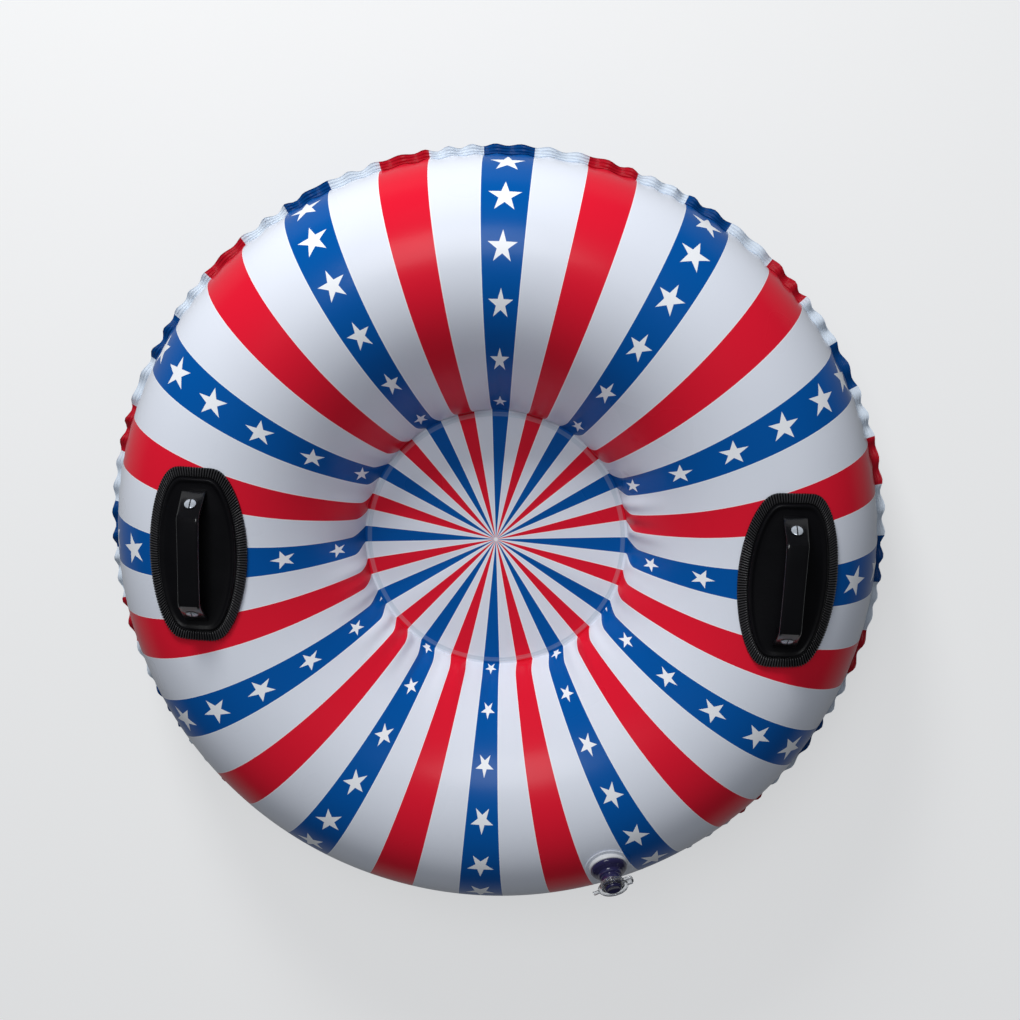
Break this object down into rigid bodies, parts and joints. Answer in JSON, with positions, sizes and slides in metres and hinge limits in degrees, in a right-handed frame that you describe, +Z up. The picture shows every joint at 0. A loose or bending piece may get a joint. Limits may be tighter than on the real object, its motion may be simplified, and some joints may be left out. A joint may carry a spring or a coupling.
{
  "type": "inflatable snow tube",
  "caption": "Inflated round snow tube with a welded seat, crinkled rim, moulded carry handles and a push-in air valve with a tethered cap.",
  "frame": {"origin": "on the floor, under the tube's centre, at the level of the strip the tube rests on", "axes": "+Z up, along the tube's own axis and out of the seat; +X from the left handle to the right one; +Y away from the valve's side"},
  "size_m": [0.95, 0.95, 0.2715],
  "materials": {
    "printed_pvc": "white PVC sheet printed with red and blue stripes and white stars",
    "bottom_pvc": "plain blue PVC sheet",
    "handle_black": "black moulded PVC, satin",
    "stud_metal": "light grey moulded stud",
    "valve_white": "whitish clear PVC weld disc",
    "valve_purple": "dark translucent purple PVC",
    "valve_clear": "clear flexible PVC"
  },
  "bodies": {
    "tube": {"top_skin": "printed_pvc", "bottom_skin": "bottom_pvc", "right_handle_pad": "handle_black", "right_handle_grip": "handle_black", "right_upper_stud": "stud_metal", "right_lower_stud": "stud_metal", "left_handle_pad": "handle_black", "left_handle_grip": "handle_black", "left_upper_stud": "stud_metal", "left_lower_stud": "stud_metal", "valve_weld_disc": "valve_white", "valve_cup": "valve_purple"},
    "stem": {"valve_stem": "valve_purple", "valve_tether": "valve_clear"},
    "flap": {"valve_flap": "valve_clear"},
    "cap": {"valve_cap": "valve_purple"}
  },
  "joints": [
    {"name": "stem_push", "type": "slide", "parent": "tube", "child": "stem", "axis": [-0.1933, 0.4666, -0.8631], "range_m": [0, 0.019], "deforming": ["valve_cup"]},
    {"name": "cap_hinge", "type": "hinge", "parent": "stem", "child": "cap", "pos_m": [0.18333, -0.3812, 0.24179], "axis": [-0.3303, 0.7974, 0.505], "range_deg": [0, 150]},
    {"name": "flap_hinge", "type": "hinge", "parent": "stem", "child": "flap", "pos_m": [0.16722, -0.37601, 0.22307], "axis": [0.3303, -0.7974, -0.505], "range_deg": [0, 60], "stiffness_Nm_per_rad": 0.0003, "springref_deg": -11.46}
  ]
}
